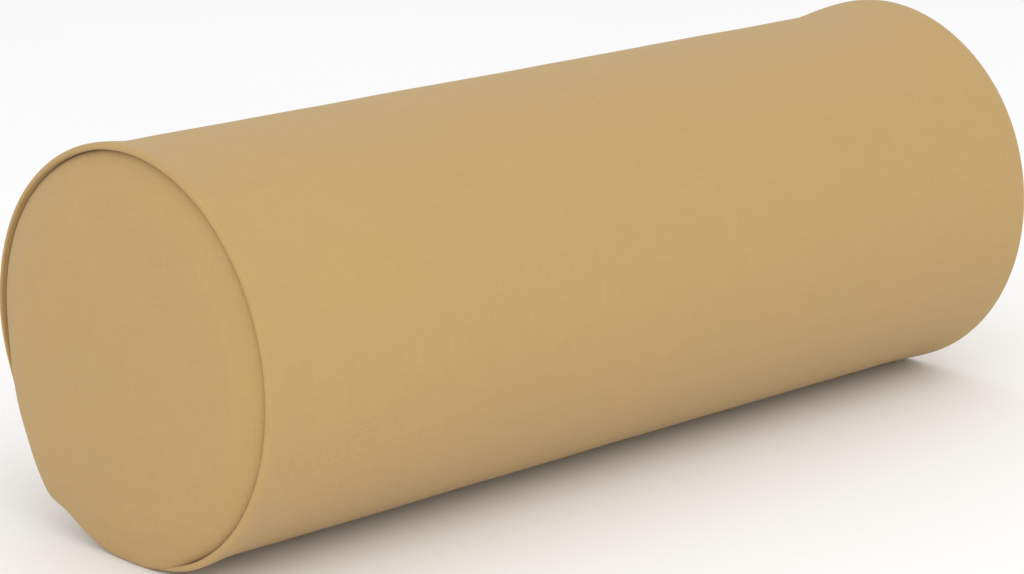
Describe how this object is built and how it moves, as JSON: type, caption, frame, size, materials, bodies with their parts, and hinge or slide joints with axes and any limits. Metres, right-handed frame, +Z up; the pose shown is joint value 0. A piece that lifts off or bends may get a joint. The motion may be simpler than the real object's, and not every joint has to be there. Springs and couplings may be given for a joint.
{
  "type": "bolster pillow",
  "caption": "Round spa and massage bolster: a foam cylinder in a zipped, matte fabric cover with rolled lips and inset round end panels.",
  "frame": {"origin": "middle of the flat that the bolster rests on, below the middle of its length", "axes": "+X along the bolster, +Z up, +Y towards the back, where the zipper is; the left end is at -X"},
  "size_m": [0.6136, 0.232, 0.2296],
  "materials": {
    "cover_fabric": "matte",
    "thread": "matte",
    "liner_cloth": "matte",
    "liner_thread": "matte",
    "fibre": "matte",
    "foam": "matte",
    "zipper_tape": "matte",
    "zipper_coil": "satin",
    "zipper_metal": "satin"
  },
  "bodies": {
    "bolster": {"body_panel": "cover_fabric", "end_panel_left": "cover_fabric", "end_panel_right": "cover_fabric", "end_seam_stitches_left": "thread", "end_seam_stitches_right": "thread", "body_seam_stitches": "thread", "liner_sleeve": "liner_cloth", "liner_end_left": "liner_cloth", "liner_end_right": "liner_cloth", "liner_seam_stitches_left": "liner_thread", "liner_seam_stitches_right": "liner_thread", "fibre_wrap": "fibre", "fibre_end_pad_left": "fibre", "fibre_end_pad_right": "fibre", "foam_core": "foam", "zipper_tape_upper": "zipper_tape", "zipper_tape_lower": "zipper_tape", "zipper_coil_upper": "zipper_coil", "zipper_coil_lower": "zipper_coil", "zipper_topstitching_upper": "thread", "zipper_topstitching_lower": "thread", "zipper_bar_tacks": "thread", "zipper_top_stops": "zipper_metal", "zipper_bottom_stop": "zipper_metal"},
    "slider": {"zipper_slider": "zipper_metal"},
    "pull_tab": {"zipper_pull_tab": "zipper_metal"}
  },
  "joints": [
    {"name": "slider_travel", "type": "slide", "parent": "bolster", "child": "slider", "axis": [-1, 0, 0], "range_m": [0, 0.517], "deforming": ["zipper_coil_upper", "zipper_coil_lower"]},
    {"name": "pull_tab_swing", "type": "hinge", "parent": "slider", "child": "pull_tab", "pos_m": [0.2589, 0.0699, 0.0204], "axis": [0, 0.8, 0.6], "range_deg": [-85, 85]}
  ]
}
